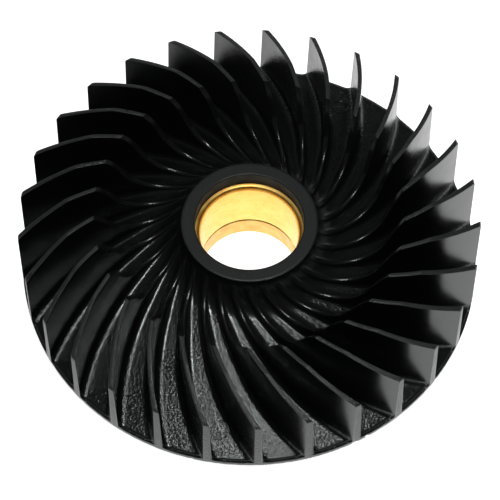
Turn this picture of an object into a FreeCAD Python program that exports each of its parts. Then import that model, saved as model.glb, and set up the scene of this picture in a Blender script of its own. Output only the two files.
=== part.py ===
import FreeCAD, Part
import math
import os

# A fan impeller for cooling a motor, in millimetres.
# The shaft axis is Z, the air comes in from +Z, and the hub stands on z = 0.

# Blades: upright, each bent to one arc of a circle
BLADE_COUNT = 29
FIRST_BLADE_ANGLE = 98.06
CAMBER_CENTRE_X = 12.29
CAMBER_CENTRE_Y = 30.94
CAMBER_RADIUS = 38.13
BLADE_TOP_THICKNESS = 0.64
SIDE_DRAFT_ANGLE = 0.9
ROOT_FILLET = 0.75

# Upper outline of a blade, from the rim inwards
BLADE_TOP_Z = 19.2
TIP_TOP_Z = 16.55
TIP_CORNER = 0.4
TIP_CORNER_RISE = 0.15
END_DRAFT_ANGLE = 1.3
KINK_RADIUS = 27.45
KNEE_RADIUS = 23.4
KNEE_DROP_RADIUS = 21.9
KNEE_DROP_Z = 17.1

# Low ridge that carries each blade on up the hub
RIDGE_LOW_RADIUS = 16.0
RIDGE_HEIGHT = 0.93
RIDGE_OUTER_ARC = 5.35
RIDGE_OUTER_TURN = 57.3
RIDGE_OUTER_STEPS = 2
RIDGE_INNER_ARC = 6.1
RIDGE_INNER_TURN = 48.0
RIDGE_INNER_STEPS = 3

# Disc: its rim, and the conical floor that rises inwards and flares up to the collar
RIM_RADIUS = 35.0
RIM_BOTTOM_Z = 4.4
RIM_TOP_Z = 5.36
DISC_THICKNESS = 1.5
FLARE_RADIUS = 5.9
FLARE_CENTRE_RISE = 0.95
FLARE_STEPS = 2

# Hub with its collar, and the brass bush that sits in it under a small lip
BUSH_BORE_RADIUS = 7.5
BUSH_WALL = 1.0
BUSH_LENGTH = 13.45
BUSH_CHAMFER = 0.2
HUB_WALL = 1.8
COLLAR_TOP_Z = 15.9
COLLAR_CHAMFER = 0.2
LIP_WIDTH = 0.1

# How a blade is drawn: as facets, with an end that is cut off later and a skirt that is sunk in the disc.
# Where a ridge is lower than the least wall, its sides slope from the top down to the floor.
BLANK_OVERHANG = 1.0
LONGEST_FACET = 9.0
LEAST_RIDGE = 0.25
LEAST_WALL = 1.0
SKIRT_SINK = 0.05
SKIRT_DEPTH = 0.6
SAME_PLACE = 0.001
FLAT_WITHIN = 0.000001

SIDE_DRAFT = math.tan(math.radians(SIDE_DRAFT_ANGLE))
END_DRAFT = math.tan(math.radians(END_DRAFT_ANGLE))
Z_AXIS = FreeCAD.Vector(0, 0, 1)
ORIGIN = FreeCAD.Vector(0, 0, 0)
BUSH_OUTER_RADIUS = BUSH_BORE_RADIUS + BUSH_WALL
COLLAR_RADIUS = BUSH_OUTER_RADIUS + HUB_WALL

# The flare is an arc that would run into the collar wall upright. The floor is its tangent from the rim.
FLARE_CENTRE_RADIUS = COLLAR_RADIUS + FLARE_RADIUS
FLARE_CENTRE_Z = COLLAR_TOP_Z + FLARE_CENTRE_RISE
RIM_TO_FLARE = math.hypot(RIM_RADIUS - FLARE_CENTRE_RADIUS, FLARE_CENTRE_Z - RIM_TOP_Z)
FLOOR_ANGLE = (
    math.atan2(FLARE_CENTRE_Z - RIM_TOP_Z, RIM_RADIUS - FLARE_CENTRE_RADIUS)
    - math.asin(FLARE_RADIUS / RIM_TO_FLARE)
)
FLOOR_SLOPE = math.tan(FLOOR_ANGLE)
FLARE_START_RADIUS = FLARE_CENTRE_RADIUS - FLARE_RADIUS * math.sin(FLOOR_ANGLE)


def on_section(radius, z):
    """A point of the section through the axis, in the XZ plane."""
    return FreeCAD.Vector(radius, 0, z)


def arc_points(centre_radius, centre_z, size, start_angle, end_angle, steps):
    """Points of the section along an arc. Angles run from straight down, positive away from the axis."""
    points = []
    for step in range(steps + 1):
        angle = start_angle + (end_angle - start_angle) * step / steps
        points.append(on_section(centre_radius + size * math.sin(angle), centre_z - size * math.cos(angle)))
    return points


def revolved(points):
    """Turns a closed section about the shaft axis."""
    face = Part.Face(Part.makePolygon(points + points[:1]))
    return face.revolve(ORIGIN, Z_AXIS, 360)


def floor_z(radius):
    """Height of the floor between the blades at a distance from the axis."""
    if radius >= FLARE_START_RADIUS:
        return RIM_TOP_Z + FLOOR_SLOPE * (RIM_RADIUS - radius)
    inward = FLARE_CENTRE_RADIUS - radius
    return FLARE_CENTRE_Z - math.sqrt(FLARE_RADIUS ** 2 - inward ** 2)


def disc_and_hub():
    """The revolved part of the moulding: rim, floor, flare, collar, bush seat and cored underside."""
    drop = DISC_THICKNESS / math.cos(FLOOR_ANGLE)
    roof_z = floor_z(FLARE_START_RADIUS) - drop
    land_radius = RIM_RADIUS - (RIM_BOTTOM_Z - RIM_TOP_Z + drop) / FLOOR_SLOPE
    edge_z = COLLAR_TOP_Z - COLLAR_CHAMFER
    flare_end = math.acos((FLARE_CENTRE_Z - edge_z) / FLARE_RADIUS)
    flare = arc_points(
        FLARE_CENTRE_RADIUS, FLARE_CENTRE_Z, FLARE_RADIUS,
        -FLOOR_ANGLE, -flare_end, FLARE_STEPS,
    )
    lip_radius = BUSH_OUTER_RADIUS - LIP_WIDTH
    return revolved([
        on_section(lip_radius, COLLAR_TOP_Z),
        on_section(lip_radius, BUSH_LENGTH),
        on_section(BUSH_OUTER_RADIUS, BUSH_LENGTH),
        on_section(BUSH_OUTER_RADIUS, 0),
        on_section(COLLAR_RADIUS, 0),
        on_section(COLLAR_RADIUS, roof_z),
        on_section(FLARE_START_RADIUS, roof_z),
        on_section(land_radius, RIM_BOTTOM_Z),
        on_section(RIM_RADIUS, RIM_BOTTOM_Z),
        on_section(RIM_RADIUS, RIM_TOP_Z),
        *flare,
        on_section(flare[-1].x - COLLAR_CHAMFER, COLLAR_TOP_Z),
    ])


def camber_point(radius):
    """Centre point of the blade at a distance from the shaft axis."""
    distance = math.hypot(CAMBER_CENTRE_X, CAMBER_CENTRE_Y)
    towards_centre = math.atan2(CAMBER_CENTRE_Y, CAMBER_CENTRE_X)
    cosine = (radius ** 2 + distance ** 2 - CAMBER_RADIUS ** 2) / (2 * radius * distance)
    angle = towards_centre - math.acos(cosine)
    return FreeCAD.Vector(radius * math.cos(angle), radius * math.sin(angle), 0)


def across_directions(centres):
    """Directions across the blade at its centre points, mitred so that the sides between them stay flat."""
    sides = []
    for outer, inner in zip(centres, centres[1:]):
        inwards = (inner - outer).normalize()
        sides.append(FreeCAD.Vector(inwards.y, -inwards.x, 0))
    directions = []
    for before, after in zip(sides[:1] + sides, sides + sides[-1:]):
        middle = (before + after).normalize()
        directions.append(middle * (1 / middle.dot(after)))
    return directions


def half_thickness(z):
    return BLADE_TOP_THICKNESS / 2 + SIDE_DRAFT * (BLADE_TOP_Z - z)


def tip_radius(z):
    """Distance from the axis to the blade ends, which are drafted from the rim's edge up."""
    return RIM_RADIUS - END_DRAFT * (z - RIM_TOP_Z)


def blade_outline():
    """Upper outline of a blade as points of the section: rim end, taper, flat top, knee and low ridge."""
    ridge_low_z = floor_z(RIDGE_LOW_RADIUS) + RIDGE_HEIGHT
    turn_out = arc_points(
        RIDGE_LOW_RADIUS, ridge_low_z + RIDGE_OUTER_ARC, RIDGE_OUTER_ARC,
        math.radians(RIDGE_OUTER_TURN), 0, RIDGE_OUTER_STEPS,
    )
    turn_in = arc_points(
        RIDGE_LOW_RADIUS, ridge_low_z + RIDGE_INNER_ARC, RIDGE_INNER_ARC,
        0, -math.radians(RIDGE_INNER_TURN), RIDGE_INNER_STEPS,
    )
    taper = (BLADE_TOP_Z - TIP_TOP_Z) / (tip_radius(TIP_TOP_Z) - KINK_RADIUS)
    blank_end = RIM_RADIUS + BLANK_OVERHANG
    points = [
        on_section(blank_end, BLADE_TOP_Z - taper * (blank_end - KINK_RADIUS)),
        on_section(KINK_RADIUS, BLADE_TOP_Z),
        on_section(KNEE_RADIUS, BLADE_TOP_Z),
        on_section(KNEE_DROP_RADIUS, KNEE_DROP_Z),
    ]
    return points + turn_out + turn_in[1:]


def outline_z(outline, radius):
    """Height of the upper outline at a distance from the axis."""
    for outer, inner in zip(outline, outline[1:]):
        if radius >= inner.x or inner is outline[-1]:
            share = (outer.x - radius) / (outer.x - inner.x)
            return outer.z + share * (inner.z - outer.z)


def blade_section(centre, across, outline):
    """Points of one section across a blade, from the skirt on one side over the top to the other skirt."""

    def point(offset, z):
        return centre + across * offset + Z_AXIS * z

    def distance(offset):
        return (centre + across * offset).Length

    columns = []
    for side in (1, -1):
        top_z = outline_z(outline, centre.Length)
        near_floor = min(floor_z(distance(side * BLADE_TOP_THICKNESS)), top_z - LEAST_RIDGE)
        height = top_z - near_floor
        root = ROOT_FILLET if height > LEAST_WALL else height
        half = half_thickness(near_floor + root)
        foot = side * (half + ROOT_FILLET)
        foot_z = min(floor_z(distance(foot)), near_floor + LEAST_RIDGE / 2) - SKIRT_SINK
        columns.append([
            point(side * half_thickness(top_z), top_z),
            point(side * half, near_floor + root),
            point(foot, foot_z),
            point(foot, foot_z - SKIRT_DEPTH),
        ])
    return columns[0][::-1] + columns[1]


def distinct(points):
    """The points of a closed outline without those that repeat the one before."""
    return [point for point, before in zip(points, points[-1:] + points) if not point.isEqual(before, SAME_PLACE)]


def flat_face(points):
    corners = distinct(points)
    return Part.Face(Part.makePolygon(corners + corners[:1]))


def skin(sections):
    """A closed solid through sections that all have the same number of points, flat where it can be."""
    faces = [flat_face(sections[0]), flat_face(sections[-1])]
    count = len(sections[0])
    for near, far in zip(sections, sections[1:]):
        for index in range(count):
            follow = (index + 1) % count
            a, b, c, d = near[index], near[follow], far[follow], far[index]
            corners = distinct([a, b, c, d])
            if len(corners) < 3:
                continue
            normal = (corners[1] - corners[0]).cross(corners[2] - corners[0]).normalize()
            if abs(normal.dot(corners[-1] - corners[0])) < FLAT_WITHIN:
                faces.append(flat_face(corners))
            else:
                faces.append(Part.makeRuledSurface(Part.makeLine(a, b), Part.makeLine(d, c)))
    shell = Part.makeShell(faces)
    shell.sewShape()
    return Part.Solid(shell)


def blade():
    outline = blade_outline()
    radii = [point.x for point in outline]
    radii += [(a.x + b.x) / 2 for a, b in zip(outline, outline[1:]) if a.x - b.x > LONGEST_FACET]
    centres = [camber_point(radius) for radius in sorted(radii, reverse=True)]
    sections = [
        blade_section(centre, across, outline)
        for centre, across in zip(centres, across_directions(centres))
    ]
    blank = skin(sections)
    if blank.Volume < 0:
        blank.reverse()
    corner_z = TIP_TOP_Z - TIP_CORNER
    corner_radius = tip_radius(TIP_TOP_Z) - TIP_CORNER
    blank_top_z = BLADE_TOP_Z + BLANK_OVERHANG
    end_limit = revolved([
        on_section(0, 0),
        on_section(RIM_RADIUS, 0),
        on_section(RIM_RADIUS, RIM_TOP_Z),
        on_section(tip_radius(corner_z), corner_z),
        on_section(corner_radius, TIP_TOP_Z + TIP_CORNER_RISE),
        on_section(corner_radius, blank_top_z),
        on_section(0, blank_top_z),
    ])
    return blank.common(end_limit).Solids[0]


def impeller():
    first = blade()
    blades = []
    for index in range(BLADE_COUNT):
        copy = first.copy()
        copy.rotate(ORIGIN, Z_AXIS, FIRST_BLADE_ANGLE - index * 360 / BLADE_COUNT)
        blades.append(copy)
    return disc_and_hub().fuse(blades).removeSplitter()


def bush():
    """The turned bush: a thin sleeve that fills its seat in the hub, with a chamfered upper mouth."""
    return revolved([
        on_section(BUSH_BORE_RADIUS + BUSH_CHAMFER, BUSH_LENGTH),
        on_section(BUSH_OUTER_RADIUS, BUSH_LENGTH),
        on_section(BUSH_OUTER_RADIUS, 0),
        on_section(BUSH_BORE_RADIUS, 0),
        on_section(BUSH_BORE_RADIUS, BUSH_LENGTH - BUSH_CHAMFER),
    ])


os.makedirs("parts", exist_ok=True)
parts = {"impeller": impeller(), "bush": bush()}
for name, shape in parts.items():
    if not shape.isValid():
        raise RuntimeError(name + " is not a valid solid")
    shape.exportStep("parts/" + name + ".step")
    print(name, "solids", len(shape.Solids), "faces", len(shape.Faces), "volume", round(shape.Volume, 1))
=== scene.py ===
import bmesh
import bpy
import math
from mathutils import Euler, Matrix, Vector, noise


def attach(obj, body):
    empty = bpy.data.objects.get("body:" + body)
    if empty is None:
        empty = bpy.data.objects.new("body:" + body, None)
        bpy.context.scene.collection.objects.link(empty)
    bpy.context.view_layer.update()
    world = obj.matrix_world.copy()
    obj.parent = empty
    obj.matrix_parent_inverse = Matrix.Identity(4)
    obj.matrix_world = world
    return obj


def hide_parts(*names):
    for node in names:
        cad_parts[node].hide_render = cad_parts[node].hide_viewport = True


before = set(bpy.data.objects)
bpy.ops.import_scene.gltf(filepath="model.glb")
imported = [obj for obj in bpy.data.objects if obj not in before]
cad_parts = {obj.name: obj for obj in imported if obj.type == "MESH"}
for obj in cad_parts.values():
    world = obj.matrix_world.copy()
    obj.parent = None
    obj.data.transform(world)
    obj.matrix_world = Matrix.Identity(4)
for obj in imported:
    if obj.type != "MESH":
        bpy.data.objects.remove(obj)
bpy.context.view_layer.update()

# Camera
# The photograph looks down on the front of the impeller from about sixty degrees, with a long lens.
MM = 0.001
PHOTO_WIDTH = 500
FOCAL_LENGTH_PIXELS = 2418.9
TARGET_PIXEL_X = 249.25
TARGET_PIXEL_Y = 256.92
TARGET = Vector((0, 0, 5.2 * MM))
CAMERA_DISTANCE = 374.5 * MM
CAMERA_ELEVATION = math.radians(60.462)
CAMERA_ROLL = math.radians(0.165)

camera_data = bpy.data.cameras.new("camera")
camera_data.sensor_width = 36
camera_data.lens = FOCAL_LENGTH_PIXELS / PHOTO_WIDTH * camera_data.sensor_width
camera_data.shift_x = (PHOTO_WIDTH / 2 - TARGET_PIXEL_X) / PHOTO_WIDTH
camera_data.shift_y = (TARGET_PIXEL_Y - PHOTO_WIDTH / 2) / PHOTO_WIDTH
camera_data.clip_start = 0.01
camera = bpy.data.objects.new("camera", camera_data)
bpy.context.scene.collection.objects.link(camera)
towards_camera = Vector((0, -math.cos(CAMERA_ELEVATION), math.sin(CAMERA_ELEVATION)))
camera.location = TARGET + towards_camera * CAMERA_DISTANCE
facing = Euler((math.pi / 2 - CAMERA_ELEVATION, 0, 0)).to_matrix()
camera.rotation_euler = (facing @ Euler((0, 0, CAMERA_ROLL)).to_matrix()).to_euler()
bpy.context.scene.camera = camera

# Plastic of the impeller
# One black moulding compound. The tool was polished for the blade sides and spark-eroded for the
# disc's floor and the blade tops, more finely for the ridges and the collar, so the same plastic is
# smooth in one place and grainy in the next. Under the collar's lip it is matt.
PLASTIC_IOR = 1.5
SHEEN_SIZE = 2.2 * MM
SHEEN_SHARE = 0.12


def plastic(name, colour, roughness, grain_height, grain_size):
    """A black plastic with a moulded grain of the given height and size, both in millimetres."""
    material = bpy.data.materials.new(name)
    material.use_nodes = True
    nodes = material.node_tree.nodes
    links = material.node_tree.links
    shader = nodes["Principled BSDF"]
    shader.inputs["Base Color"].default_value = colour
    shader.inputs["IOR"].default_value = PLASTIC_IOR
    shader.inputs["Specular Tint"].default_value = (0.94, 1.0, 0.98, 1)
    place = nodes.new("ShaderNodeTexCoord")
    grain = nodes.new("ShaderNodeTexNoise")
    grain.inputs["Scale"].default_value = 1 / (grain_size * MM)
    grain.inputs["Detail"].default_value = 2
    grain.inputs["Roughness"].default_value = 0.6
    links.new(place.outputs["Object"], grain.inputs["Vector"])
    sheen = nodes.new("ShaderNodeTexNoise")
    sheen.inputs["Scale"].default_value = 1 / SHEEN_SIZE
    sheen.inputs["Detail"].default_value = 3
    links.new(place.outputs["Object"], sheen.inputs["Vector"])
    dullness = nodes.new("ShaderNodeMapRange")
    dullness.inputs["From Min"].default_value = 0.3
    dullness.inputs["From Max"].default_value = 0.7
    dullness.inputs["To Min"].default_value = roughness * (1 - SHEEN_SHARE)
    dullness.inputs["To Max"].default_value = roughness * (1 + SHEEN_SHARE)
    links.new(sheen.outputs["Fac"], dullness.inputs["Value"])
    links.new(dullness.outputs["Result"], shader.inputs["Roughness"])
    bump = nodes.new("ShaderNodeBump")
    bump.inputs["Strength"].default_value = 1.0
    bump.inputs["Distance"].default_value = grain_height * MM
    links.new(grain.outputs["Fac"], bump.inputs["Height"])
    links.new(bump.outputs["Normal"], shader.inputs["Normal"])
    return material


polished_plastic = plastic("polished_black_plastic", (0.0066, 0.0068, 0.0067, 1), 0.23, 0.003, 0.5)
eroded_plastic = plastic("spark_eroded_black_plastic", (0.0055, 0.006, 0.0064, 1), 0.22, 0.1, 0.38)
# The blade tops share the floor's spark-eroded grain and roughness, but their lighter grey colour is
# painted light: it stands in for the light that the flat tops catch.
lighter_painted_top_plastic = plastic("spark_eroded_tops_painted_lighter", (0.025, 0.0265, 0.0265, 1), 0.3, 0.12, 0.3)
ridge_plastic = plastic("finely_eroded_black_plastic", (0.0066, 0.0068, 0.0068, 1), 0.2, 0.03, 0.27)
satin_plastic = plastic("satin_black_plastic", (0.0125, 0.0128, 0.0136, 1), 0.4, 0.05, 0.22)
matt_plastic = plastic("matt_black_plastic", (0.009, 0.0092, 0.009, 1), 0.65, 0.03, 0.3)

# Impeller moulding
# Disc, blades, ridges, hub and collar come out of the tool as one piece. The mesh is one closed net:
# its columns run from the hub out along every blade, over the rim and back underneath to the hub.
# Sizes are in millimetres until the mesh is made.
BLADE_COUNT = 29
PITCH = 2 * math.pi / BLADE_COUNT
FIRST_BLADE_ANGLE = math.radians(98.06)
CAMBER_CENTRE = Vector((12.29, 30.94))
CAMBER_RADIUS = 38.13
BLADE_TOP_Z = 19.2
BLADE_HALF_TOP = 0.32
SIDE_DRAFT = math.tan(math.radians(0.9))
END_DRAFT = math.tan(math.radians(0.45))
TIP_TOP_Z = 16.62
TIP_ROUNDING = 0.4
KINK_RADIUS = 27.45
KNEE_RADIUS = 23.4
KNEE_ARC = 7.36
KNEE_ARC_START = math.radians(44.4)
KNEE_DROP_RADIUS = 21.9
KNEE_DROP_SLOPE = 2.1
RIDGE_START_RADIUS = 20.5
RIDGE_LOW_RADIUS = 16.0
RIDGE_LOW_Z = 11.7
RIDGE_OUTER_ARC = 5.35
RIDGE_INNER_ARC = 6.1
INNER_FILLET = (1.15, 0.95)
INNER_FILLET_HUB_SHARE = 0.9
OUTER_FILLET = (0.8, 0.8)
OUTER_FILLET_HUB_SHARE = 0.62
TOP_EDGE = 0.07
RIM_RADIUS = 35.0
LEDGE_RADIUS = 34.7
LEDGE_Z = 5.2
RIM_BOTTOM_Z = 4.27
RIM_EDGE = 0.14
FLOOR_EDGE_Z = 5.443
FLARE_ARC = 5.9
FLARE_CENTRE_RADIUS = 16.2
FLARE_CENTRE_Z = 16.85
COLLAR_TOP_Z = 16.08
COLLAR_INNER_RADIUS = 8.28
COLLAR_OUTER_RADIUS = 10.37
SEAT_RADIUS = 8.5
SEAT_TOP_Z = 13.45
HUB_RADIUS = 10.3
DISC_THICKNESS = 1.5
COLLAR_EDGE = 0.25
STEP_DRAFT = 0.03
GRAIN_END_RADIUS = 13.9
MIN_BLADE_HEIGHT = 0.02
EJECTOR_RADIUS = 1.38
EJECTOR_PAD_SHARE = 0.905
EJECTOR_STEPS = 36
EJECTOR_PROFILE = ((1.0, -0.3), (1.0, 0.07), (0.985, 0.09), (0.965, 0.09), (0.9, 0.01), (0.5, 0.01))
EJECTOR_MARKS = ((22.9, -121.5), (30.7, -123.2), (30.7, -98.0), (30.4, 61.8), (22.2, -97.0))
RIM_WEAR = 0.05
RIM_NICKS = ((-63.1, 1.5, 0.12), (-59.6, 1.0, 0.2), (-36.3, 0.8, 0.12), (-104.0, 0.6, 0.06))

rim_to_flare = Vector((LEDGE_RADIUS - FLARE_CENTRE_RADIUS, FLARE_CENTRE_Z - FLOOR_EDGE_Z))
FLOOR_ANGLE = math.atan2(rim_to_flare.y, rim_to_flare.x) - math.asin(FLARE_ARC / rim_to_flare.length)
FLOOR_SLOPE = math.tan(FLOOR_ANGLE)
FLARE_START_RADIUS = FLARE_CENTRE_RADIUS - FLARE_ARC * math.sin(FLOOR_ANGLE)
CAMBER_DISTANCE = CAMBER_CENTRE.length
CAMBER_DIRECTION = math.atan2(CAMBER_CENTRE.y, CAMBER_CENTRE.x)


def blend(edge_low, edge_high, value):
    """Eased share from 0 below the low edge to 1 above the high one."""
    share = min(1, max(0, (value - edge_low) / (edge_high - edge_low)))
    return share * share * (3 - 2 * share)


def floor_height(radius):
    """Height of the disc's floor: a cone, and inside it the flare that climbs to the collar."""
    if radius >= FLARE_START_RADIUS:
        return FLOOR_EDGE_Z + FLOOR_SLOPE * (LEDGE_RADIUS - radius)
    inward = FLARE_CENTRE_RADIUS - radius
    return FLARE_CENTRE_Z - math.sqrt(FLARE_ARC ** 2 - inward ** 2)


def blade_height(radius):
    """Height of the blade's upper outline: tip, taper, flat top, knee, drop and the low ridge."""
    if radius >= KINK_RADIUS:
        tip = RIM_RADIUS - END_DRAFT * (TIP_TOP_Z - LEDGE_Z)
        level = BLADE_TOP_Z - (BLADE_TOP_Z - TIP_TOP_Z) * (radius - KINK_RADIUS) / (tip - KINK_RADIUS)
        share = min(1, max(0, (radius - tip + TIP_ROUNDING) / TIP_ROUNDING))
        return level - TIP_ROUNDING * 0.8 * (1 - math.sqrt(1 - share * share))
    if radius >= KNEE_RADIUS:
        return BLADE_TOP_Z
    if radius >= KNEE_DROP_RADIUS:
        across = KNEE_ARC * math.sin(KNEE_ARC_START) + KNEE_RADIUS - radius
        centre_z = BLADE_TOP_Z - KNEE_ARC * math.cos(KNEE_ARC_START)
        return centre_z + KNEE_ARC * math.cos(math.asin(across / KNEE_ARC))
    drop_z = blade_height(KNEE_DROP_RADIUS)
    if radius >= RIDGE_START_RADIUS:
        return drop_z - KNEE_DROP_SLOPE * (KNEE_DROP_RADIUS - radius)
    arc = RIDGE_OUTER_ARC if radius > RIDGE_LOW_RADIUS else RIDGE_INNER_ARC
    return RIDGE_LOW_Z + arc - math.sqrt(arc ** 2 - (radius - RIDGE_LOW_RADIUS) ** 2)


def camber_turn(radius, offset):
    """Angle round the shaft of the point that lies the given offset outside the camber arc."""
    reach = CAMBER_RADIUS + offset
    cosine = (radius ** 2 + CAMBER_DISTANCE ** 2 - reach ** 2) / (2 * radius * CAMBER_DISTANCE)
    return CAMBER_DIRECTION - math.acos(cosine)


def camber_offset(radius, turn):
    """How far outside the camber arc a point lies."""
    square = radius ** 2 + CAMBER_DISTANCE ** 2
    square -= 2 * radius * CAMBER_DISTANCE * math.cos(turn - CAMBER_DIRECTION)
    return math.sqrt(square) - CAMBER_RADIUS


def half_width(z):
    """Half the thickness of a blade at a height, with its draft."""
    return BLADE_HALF_TOP + SIDE_DRAFT * (BLADE_TOP_Z - z)


EDGE_STEPS = 3
FILLET_STEPS = 6
RIDGE_ROUNDING = (19.0, 21.6)


def half_section(radius, base_z, side):
    """Points (turn, z, zone) from the middle of a blade to the middle of the gap on one side of it."""
    top_z = max(blade_height(radius), base_z + MIN_BLADE_HEIGHT)
    height = top_z - base_z
    half_top = half_width(top_z)
    roundness = 1 - blend(*RIDGE_ROUNDING, radius)
    edge_width = TOP_EDGE + (half_top * 0.92 - TOP_EDGE) * roundness
    edge_height = min(edge_width, 0.42 * height)
    fillet_width, fillet_height = INNER_FILLET if side < 0 else OUTER_FILLET
    hub_share = INNER_FILLET_HUB_SHARE if side < 0 else OUTER_FILLET_HUB_SHARE
    fillet_width *= hub_share + (1 - hub_share) * blend(18, 27, radius)
    fillet_height = min(fillet_height, 0.5 * height)
    wall_top = top_z - edge_height
    wall_bottom = base_z + fillet_height
    support = min(0.2, 0.3 * (wall_top - wall_bottom))
    half_root = half_width(wall_bottom)
    middle_turn = camber_turn(radius, 0) - side * PITCH / 2
    room = abs(camber_offset(radius, middle_turn))
    foot = min(half_root + fillet_width, room * 0.94)
    half_root = min(half_root, foot * 0.7)
    points = []
    for step in range(EDGE_STEPS + 1):
        angle = math.pi / 2 * step / EDGE_STEPS
        offset = half_top - edge_width * (1 - math.sin(angle))
        points.append((offset, top_z - edge_height * (1 - math.cos(angle)), "top"))
    points.append((half_width(wall_top - support), wall_top - support, "side"))
    points.append((half_width(wall_bottom + support), wall_bottom + support, "side"))
    for step in range(FILLET_STEPS + 1):
        angle = math.pi / 2 * step / FILLET_STEPS
        offset = half_root + (foot - half_root) * (1 - math.cos(angle))
        z = base_z + fillet_height * (1 - math.sin(angle))
        points.append((offset, z, "foot"))
    section = [(camber_turn(radius, side * min(offset, foot)), z, zone) for offset, z, zone in points]
    foot_turn = section[-1][0]
    section.append((foot_turn + 0.15 * (middle_turn - foot_turn), base_z, "floor"))
    section.append((middle_turn, base_z, "floor"))
    return section


def pitch_section(radius, base_z):
    """One pitch of the disc: from the middle of a gap, over a blade, to the middle of the next gap."""
    top_z = max(blade_height(radius), base_z + MIN_BLADE_HEIGHT)
    left = half_section(radius, base_z, -1)
    right = half_section(radius, base_z, 1)
    return left[::-1] + [(camber_turn(radius, 0), top_z, "top")] + right[:-1]


COLUMNS = len(pitch_section(30, floor_height(30)))
NET_COLUMNS = COLUMNS * BLADE_COUNT


def net_row(radius, base_z, outward=0.0):
    """A row of the net round the disc. Outward moves it that share of the way to the blade ends."""
    row = []
    tip = RIM_RADIUS - END_DRAFT * (TIP_TOP_Z - LEDGE_Z)
    section_radius = radius + outward * (tip - radius)
    middle = camber_turn(section_radius, 0)
    for blade in range(BLADE_COUNT):
        start = FIRST_BLADE_ANGLE - blade * PITCH
        for turn, z, zone in pitch_section(section_radius, base_z):
            end = RIM_RADIUS - END_DRAFT * (z - LEDGE_Z)
            reach = radius + outward * (end - radius)
            angle = start + turn - middle + camber_turn(reach, 0) if outward else start + turn
            row.append((reach * math.cos(angle), reach * math.sin(angle), z, zone))
    return row


def ring(radius, z):
    """A plain round row of the net, for the rim, the underside and the hub."""
    start = FIRST_BLADE_ANGLE + camber_turn(RIM_RADIUS, 0) + PITCH / 2
    row = []
    for column in range(NET_COLUMNS):
        angle = start - 2 * math.pi * column / NET_COLUMNS
        row.append((radius * math.cos(angle), radius * math.sin(angle), z, "plain"))
    return row


def spread(start, end, count):
    """Evenly spaced values from the start up to, but without, the end."""
    return [start + (end - start) * step / count for step in range(count)]


rows = []
collar_edge_z = COLLAR_TOP_Z - COLLAR_EDGE
flare_end = math.acos((FLARE_CENTRE_Z - collar_edge_z) / FLARE_ARC)
for angle in spread(flare_end, FLOOR_ANGLE, 18):
    radius = FLARE_CENTRE_RADIUS - FLARE_ARC * math.sin(angle)
    rows.append(net_row(radius, floor_height(radius)))
stations = spread(FLARE_START_RADIUS, 20.2, 12) + spread(20.2, KNEE_RADIUS, 13)
stations += [KNEE_RADIUS, KNEE_RADIUS + 0.12] + spread(24, KINK_RADIUS - 0.15, 4)
stations += [KINK_RADIUS - 0.15, KINK_RADIUS, KINK_RADIUS + 0.15] + spread(28.2, 34.1, 8)
stations += [34.1, 34.25, LEDGE_RADIUS - 0.3]
rows += [net_row(radius, floor_height(radius)) for radius in stations]
for inset, sink in ((0.2, 0.004), (0.1, 0.015), (0.04, 0.035), (0, 0.1)):
    rows.append(net_row(LEDGE_RADIUS - inset, floor_height(LEDGE_RADIUS - inset) - sink))
rows += [net_row(LEDGE_RADIUS + STEP_DRAFT, LEDGE_Z, outward) for outward in (0, 0.35, 0.6, 0.8, 0.93, 1)]
for inset, drop in ((RIM_EDGE, 0), (RIM_EDGE * 0.3, RIM_EDGE * 0.3)):
    if drop:
        rows.append(list(rows[-1]))
    for column, (x, y, z, zone) in enumerate(rows[-1]):
        low = zone in ("floor", "foot")
        stretch = (RIM_RADIUS - inset) / math.hypot(x, y)
        if low:
            rows[-1][column] = (x * stretch, y * stretch, LEDGE_Z - drop, zone)
        elif drop:
            stretch = RIM_RADIUS / math.hypot(x, y)
            rows[-1][column] = (x * stretch, y * stretch, LEDGE_Z - drop * 0.5, zone)
disc_rows = len(rows)
disc_depth = DISC_THICKNESS / math.cos(FLOOR_ANGLE)
roof_z = floor_height(FLARE_START_RADIUS) - disc_depth
land_radius = LEDGE_RADIUS - (RIM_BOTTOM_Z - FLOOR_EDGE_Z + disc_depth) / FLOOR_SLOPE
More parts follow.
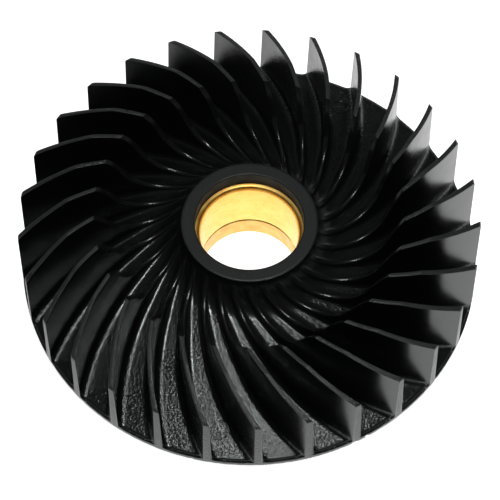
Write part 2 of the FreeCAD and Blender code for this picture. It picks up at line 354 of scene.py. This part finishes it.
rows += [ring(radius, z) for radius, z in (
    (RIM_RADIUS, LEDGE_Z - RIM_EDGE),
    (RIM_RADIUS, LEDGE_Z - 0.35),
    (RIM_RADIUS, RIM_BOTTOM_Z + 0.1),
    (RIM_RADIUS - 0.03, RIM_BOTTOM_Z + 0.03),
    (RIM_RADIUS - 0.1, RIM_BOTTOM_Z),
    (land_radius + 0.2, RIM_BOTTOM_Z),
    (land_radius - 0.2, RIM_BOTTOM_Z + 0.2 * FLOOR_SLOPE),
    (24, RIM_BOTTOM_Z + (land_radius - 24) * FLOOR_SLOPE),
    (FLARE_START_RADIUS + 0.3, roof_z - 0.3 * FLOOR_SLOPE),
    (FLARE_START_RADIUS - 0.3, roof_z),
    (HUB_RADIUS + 0.5, roof_z),
    (HUB_RADIUS + 0.15, roof_z - 0.15),
    (HUB_RADIUS, roof_z - 0.5),
    (HUB_RADIUS, 0.5),
    (HUB_RADIUS - 0.1, 0.35),
    (HUB_RADIUS - 0.35, 0.05),
    (HUB_RADIUS - 0.5, 0),
    (SEAT_RADIUS, 0),
    (SEAT_RADIUS, SEAT_TOP_Z),
    (COLLAR_INNER_RADIUS, SEAT_TOP_Z),
    (COLLAR_INNER_RADIUS, COLLAR_TOP_Z - 0.3),
    (COLLAR_INNER_RADIUS, COLLAR_TOP_Z - 0.12),
    (COLLAR_INNER_RADIUS + 0.04, COLLAR_TOP_Z - 0.04),
    (COLLAR_INNER_RADIUS + 0.12, COLLAR_TOP_Z),
    (COLLAR_INNER_RADIUS + 0.35, COLLAR_TOP_Z),
    (COLLAR_OUTER_RADIUS - 0.4, COLLAR_TOP_Z),
    (COLLAR_OUTER_RADIUS - 0.12, COLLAR_TOP_Z),
    (COLLAR_OUTER_RADIUS - 0.02, COLLAR_TOP_Z - 0.05),
    (COLLAR_OUTER_RADIUS + 0.04, COLLAR_TOP_Z - 0.16),
)]

# Wear of the rim: a faint waviness of the edge and a few small nicks.
for index in range(disc_rows - 1, disc_rows + 5):
    for column, (x, y, z, zone) in enumerate(rows[index]):
        angle = math.degrees(math.atan2(y, x))
        loss = RIM_WEAR * abs(noise.noise(Vector((x * 0.9, y * 0.9, z * 1.5))))
        for nick_angle, nick_width, nick_depth in RIM_NICKS:
            loss += nick_depth * (1 - blend(nick_width * 0.35, nick_width * 0.6, abs(angle - nick_angle)))
        stretch = 1 - loss / RIM_RADIUS
        rows[index][column] = (x * stretch, y * stretch, z, zone)

mesh = bmesh.new()
net = [[mesh.verts.new((x * MM, y * MM, z * MM)) for x, y, z, zone in row] for row in rows]
hub_turn = camber_turn(math.hypot(rows[0][0][0], rows[0][0][1]), 0) - camber_turn(RIM_RADIUS, 0)
closing_shift = round(-hub_turn * NET_COLUMNS / (2 * math.pi))
POLISHED, ERODED, SATIN, TOP, RIDGE, MATT = range(6)
for index, row in enumerate(rows):
    follow = (index + 1) % len(rows)
    shift = closing_shift if follow == 0 else 0
    for column in range(NET_COLUMNS):
        after = (column + 1) % NET_COLUMNS
        near = net[index]
        far = net[follow]
        face = mesh.faces.new((
            near[column], near[after],
            far[(after - shift) % NET_COLUMNS], far[(column - shift) % NET_COLUMNS],
        ))
        zones = {row[column][3], row[after][3]}
        radius = math.hypot(row[column][0], row[column][1])
        face.smooth = True
        at_edge = LEDGE_RADIUS - 0.31 < radius < LEDGE_RADIUS
        if "floor" in zones and GRAIN_END_RADIUS < radius and not at_edge:
            face.material_index = ERODED
        elif zones == {"foot"} and not at_edge:
            face.material_index = ERODED if radius > KNEE_RADIUS else RIDGE
        elif zones == {"top"} and radius > KNEE_RADIUS - 0.1:
            face.material_index = TOP
        elif zones == {"top"} and radius < KNEE_DROP_RADIUS - 1:
            face.material_index = RIDGE
        elif zones == {"plain"} and row[column][2] > COLLAR_TOP_Z - 0.1:
            face.material_index = SATIN
        elif zones == {"plain"} and radius < SEAT_RADIUS and row[column][2] >= SEAT_TOP_Z:
            face.material_index = MATT
bmesh.ops.recalc_face_normals(mesh, faces=mesh.faces)

# Marks left by the ejector pins: round pads with a thin ring of flash round each.
for radius, angle in EJECTOR_MARKS:
    turn = math.radians(angle)
    centre = Vector((radius * math.cos(turn), radius * math.sin(turn), floor_height(radius)))
    outward = Vector((math.cos(turn), math.sin(turn), -FLOOR_SLOPE)).normalized()
    across = Vector((-math.sin(turn), math.cos(turn), 0))
    up = outward.cross(across)
    loops = []
    for size, rise in EJECTOR_PROFILE:
        loop = []
        for step in range(EJECTOR_STEPS):
            spin = 2 * math.pi * step / EJECTOR_STEPS
            point = centre + EJECTOR_RADIUS * size * (outward * math.cos(spin) + across * math.sin(spin))
            loop.append(mesh.verts.new((point + up * rise) * MM))
        loops.append(loop)
    pad = [mesh.faces.new(loops[0][::-1]), mesh.faces.new(loops[-1])]
    for lower, upper in zip(loops, loops[1:]):
        for step in range(EJECTOR_STEPS):
            after = (step + 1) % EJECTOR_STEPS
            pad.append(mesh.faces.new((lower[step], lower[after], upper[after], upper[step])))
    for face in pad:
        face.smooth = True
        centre_distance = (face.calc_center_median() / MM - centre).length
        on_pad = centre_distance < EJECTOR_RADIUS * EJECTOR_PAD_SHARE
        face.material_index = ERODED if on_pad else POLISHED
    bmesh.ops.recalc_face_normals(mesh, faces=pad)

# A sliver of flash that stands up along the edge of one blade's end.
BURR_BLADE = 14
BURR_RADII = (33.3, 33.6, 34.1, 34.5)
BURR_WIDTHS = (0.03, 0.13, 0.15, 0.03)
BURR_OFFSET = -0.24
BURR_CORNERS = ((0, -0.1), (0, 0.05), (1, 0.05), (1, -0.1))
loops = []
for radius, width in zip(BURR_RADII, BURR_WIDTHS):
    z = blade_height(radius)
    loop = []
    for share, rise in BURR_CORNERS:
        turn = camber_turn(radius, BURR_OFFSET - share * width)
        angle = FIRST_BLADE_ANGLE - BURR_BLADE * PITCH + turn
        point = Vector((radius * math.cos(angle), radius * math.sin(angle), z + rise))
        loop.append(mesh.verts.new(point * MM))
    loops.append(loop)
burr = [mesh.faces.new(loops[0]), mesh.faces.new(loops[-1][::-1])]
for lower, upper in zip(loops, loops[1:]):
    for step in range(4):
        after = (step + 1) % 4
        burr.append(mesh.faces.new((lower[step], upper[step], upper[after], lower[after])))
for face in burr:
    face.smooth = True
bmesh.ops.recalc_face_normals(mesh, faces=burr)

moulding_mesh = bpy.data.meshes.new("impeller_moulding")
mesh.to_mesh(moulding_mesh)
mesh.free()
moulding_mesh.set_sharp_from_angle(angle=math.radians(40))
for material in (
    polished_plastic, eroded_plastic, satin_plastic, lighter_painted_top_plastic, ridge_plastic, matt_plastic,
):
    moulding_mesh.materials.append(material)
moulding = bpy.data.objects.new("impeller_moulding", moulding_mesh)
bpy.context.scene.collection.objects.link(moulding)
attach(moulding, "root")
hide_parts("impeller")

# Brass bush
# A thin turned sleeve in the hub, under the small lip of the plastic. Its mouth is rounded, its bore
# is reamed bright, and a fine groove that wavers a little runs round it near the bottom.
BUSH_BORE_RADIUS = 7.5
BUSH_OUTER_RADIUS = 8.5
BUSH_TOP_Z = 13.45
MOUTH_RADIUS = 7.8
MOUTH_DEPTH = 0.8
BUSH_CHAMFER = 0.2
GROOVE_Z = 3.75
GROOVE_HALF = 0.2
GROOVE_DEPTH = 0.14
GROOVE_WAVER = 0.09
WEAR_SIZE = 1.8 * MM
BUSH_SEGMENTS = 192


def brass(name, pale, deep, roughness):
    """Turned brass that varies between a pale and a deep tone, with fine tool marks round the axis."""
    material = bpy.data.materials.new(name)
    material.use_nodes = True
    nodes = material.node_tree.nodes
    links = material.node_tree.links
    shader = nodes["Principled BSDF"]
    shader.inputs["Metallic"].default_value = 1.0
    place = nodes.new("ShaderNodeTexCoord")
    stretch = nodes.new("ShaderNodeMapping")
    stretch.inputs["Scale"].default_value = (30, 30, 9000)
    links.new(place.outputs["Object"], stretch.inputs["Vector"])
    turning = nodes.new("ShaderNodeTexNoise")
    turning.inputs["Scale"].default_value = 1
    turning.inputs["Detail"].default_value = 4
    links.new(stretch.outputs["Vector"], turning.inputs["Vector"])
    ridges = nodes.new("ShaderNodeBump")
    ridges.inputs["Distance"].default_value = 0.006 * MM
    links.new(turning.outputs["Fac"], ridges.inputs["Height"])
    links.new(ridges.outputs["Normal"], shader.inputs["Normal"])
    wear = nodes.new("ShaderNodeTexNoise")
    wear.inputs["Scale"].default_value = 1 / WEAR_SIZE
    wear.inputs["Detail"].default_value = 4
    links.new(place.outputs["Object"], wear.inputs["Vector"])
    dull = nodes.new("ShaderNodeMapRange")
    dull.inputs["To Min"].default_value = roughness * 0.75
    dull.inputs["To Max"].default_value = roughness * 1.25
    links.new(wear.outputs["Fac"], dull.inputs["Value"])
    links.new(dull.outputs["Result"], shader.inputs["Roughness"])
    tone = nodes.new("ShaderNodeValToRGB")
    tone.color_ramp.elements[0].position = 0.36
    tone.color_ramp.elements[0].color = deep
    tone.color_ramp.elements[1].position = 0.62
    tone.color_ramp.elements[1].color = pale
    links.new(wear.outputs["Fac"], tone.inputs["Fac"])
    links.new(tone.outputs["Color"], shader.inputs["Base Color"])
    return material


bore_brass = brass("bright_bore_brass", (0.9, 0.76, 0.225, 1), (0.88, 0.66, 0.165, 1), 0.27)
mouth_brass = brass("dull_mouth_brass", (1.0, 0.66, 0.19, 1), (0.86, 0.46, 0.11, 1), 0.42)
foot_brass = brass("foot_of_bore_brass", (0.88, 0.61, 0.2, 1), (0.82, 0.46, 0.125, 1), 0.3)
BORE, MOUTH, FOOT = range(3)

profile = [
    (BUSH_BORE_RADIUS, BUSH_TOP_Z - MOUTH_DEPTH, MOUTH),
    (MOUTH_RADIUS - 0.2, BUSH_TOP_Z - 0.4, MOUTH),
    (MOUTH_RADIUS - 0.12, BUSH_TOP_Z - 0.23, MOUTH),
    (MOUTH_RADIUS, BUSH_TOP_Z - 0.11, MOUTH),
    (MOUTH_RADIUS + 0.2, BUSH_TOP_Z - 0.03, MOUTH),
    (BUSH_OUTER_RADIUS - 0.03, BUSH_TOP_Z, MOUTH),
    (BUSH_OUTER_RADIUS, BUSH_TOP_Z - 0.03, BORE),
    (BUSH_OUTER_RADIUS, 0.1, BORE),
    (BUSH_OUTER_RADIUS - 0.1, 0, BORE),
    (BUSH_BORE_RADIUS + BUSH_CHAMFER, 0, FOOT),
    (BUSH_BORE_RADIUS, BUSH_CHAMFER, FOOT),
    (BUSH_BORE_RADIUS, GROOVE_Z - GROOVE_HALF, FOOT),
    (BUSH_BORE_RADIUS + GROOVE_DEPTH, GROOVE_Z, FOOT),
    (BUSH_BORE_RADIUS, GROOVE_Z + GROOVE_HALF, BORE),
]
mesh = bmesh.new()
loops = []
for radius, z, tone in profile:
    loop = []
    for step in range(BUSH_SEGMENTS):
        angle = 2 * math.pi * step / BUSH_SEGMENTS
        if radius == BUSH_BORE_RADIUS + GROOVE_DEPTH:
            z = GROOVE_Z + GROOVE_WAVER * noise.noise(Vector((5 * math.cos(angle), 5 * math.sin(angle), 0)))
        point = Vector((radius * math.cos(angle), radius * math.sin(angle), z))
        loop.append(mesh.verts.new(point * MM))
    loops.append(loop)
for index, loop in enumerate(loops):
    follow = loops[(index + 1) % len(loops)]
    for step in range(BUSH_SEGMENTS):
        after = (step + 1) % BUSH_SEGMENTS
        face = mesh.faces.new((loop[step], loop[after], follow[after], follow[step]))
        face.smooth = True
        face.material_index = profile[index][2]
bmesh.ops.recalc_face_normals(mesh, faces=mesh.faces)
bush_mesh = bpy.data.meshes.new("brass_bush")
mesh.to_mesh(bush_mesh)
mesh.free()
bush_mesh.set_sharp_from_angle(angle=math.radians(30))
for material in (bore_brass, mouth_brass, foot_brass):
    bush_mesh.materials.append(material)
bush = bpy.data.objects.new("brass_bush", bush_mesh)
bpy.context.scene.collection.objects.link(bush)
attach(bush, "root")
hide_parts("bush")

# Table and light
# A white table and white surroundings, with a small lamp above and a broad dim one at the back. In
# reflections the table is brighter at the front right than at the back left.
TABLE_HALF = 3.0
corners = [(-1, -1), (1, -1), (1, 1), (-1, 1)]
table_mesh = bpy.data.meshes.new("table")
table_mesh.from_pydata([(x * TABLE_HALF, y * TABLE_HALF, 0) for x, y in corners], [], [(0, 1, 2, 3)])
table = bpy.data.objects.new("table", table_mesh)
bpy.context.scene.collection.objects.link(table)
paper = bpy.data.materials.new("white_paper")
paper.use_nodes = True
nodes = paper.node_tree.nodes
links = paper.node_tree.links
shader = nodes["Principled BSDF"]
shader.inputs["Base Color"].default_value = (0.8, 0.8, 0.8, 1)
shader.inputs["Roughness"].default_value = 0.9
shader.inputs["Emission Color"].default_value = (1, 1, 1, 1)
path = nodes.new("ShaderNodeLightPath")
seen = nodes.new("ShaderNodeMath")
seen.operation = "MAXIMUM"
links.new(path.outputs["Is Camera Ray"], seen.inputs[0])
links.new(path.outputs["Is Glossy Ray"], seen.inputs[1])
place = nodes.new("ShaderNodeTexCoord")
across = nodes.new("ShaderNodeVectorMath")
across.operation = "DOT_PRODUCT"
across.inputs[1].default_value = (1, -0.5, 0)
links.new(place.outputs["Object"], across.inputs[0])
distance = nodes.new("ShaderNodeMapRange")
distance.inputs["From Min"].default_value = -0.06
distance.inputs["From Max"].default_value = 0.06
distance.inputs["To Min"].default_value = 0.62
distance.inputs["To Max"].default_value = 1.2
links.new(across.outputs["Value"], distance.inputs["Value"])
shown = nodes.new("ShaderNodeMath")
shown.operation = "MAXIMUM"
links.new(distance.outputs["Result"], shown.inputs[0])
links.new(path.outputs["Is Camera Ray"], shown.inputs[1])
glow = nodes.new("ShaderNodeMath")
glow.operation = "MULTIPLY"
links.new(seen.outputs["Value"], glow.inputs[0])
links.new(shown.outputs["Value"], glow.inputs[1])
links.new(glow.outputs["Value"], shader.inputs["Emission Strength"])
table_mesh.materials.append(paper)

world = bpy.data.worlds.new("surroundings")
bpy.context.scene.world = world
world.use_nodes = True
nodes = world.node_tree.nodes
links = world.node_tree.links
background = nodes["Background"]
place = nodes.new("ShaderNodeTexCoord")
split = nodes.new("ShaderNodeSeparateXYZ")
links.new(place.outputs["Generated"], split.inputs["Vector"])
height = nodes.new("ShaderNodeMapRange")
height.inputs["From Min"].default_value = 0.0
height.inputs["From Max"].default_value = 0.45
height.inputs["To Min"].default_value = 0.2
height.inputs["To Max"].default_value = 0.05
links.new(split.outputs["Z"], height.inputs["Value"])
path = nodes.new("ShaderNodeLightPath")
shown = nodes.new("ShaderNodeMix")
links.new(path.outputs["Is Camera Ray"], shown.inputs["Factor"])
links.new(height.outputs["Result"], shown.inputs["A"])
shown.inputs["B"].default_value = 1.0
links.new(shown.outputs["Result"], background.inputs["Strength"])
background.inputs["Color"].default_value = (1, 1, 1, 1)


def area_light(name, position, size, power):
    """A round lamp that faces the impeller."""
    data = bpy.data.lights.new(name, "AREA")
    data.shape = "DISK"
    data.size = size
    data.energy = power
    light = bpy.data.objects.new(name, data)
    bpy.context.scene.collection.objects.link(light)
    light.location = position
    light.rotation_mode = "QUATERNION"
    light.rotation_quaternion = (TARGET - light.location).to_track_quat("-Z", "Y")


area_light("overhead_light", Vector((0.022, -0.08, 0.6)), 0.06, 1.25)
area_light("back_light", Vector((0.0, 0.44, 0.76)), 0.4, 0.24)

bpy.context.scene.view_settings.view_transform = "Standard"
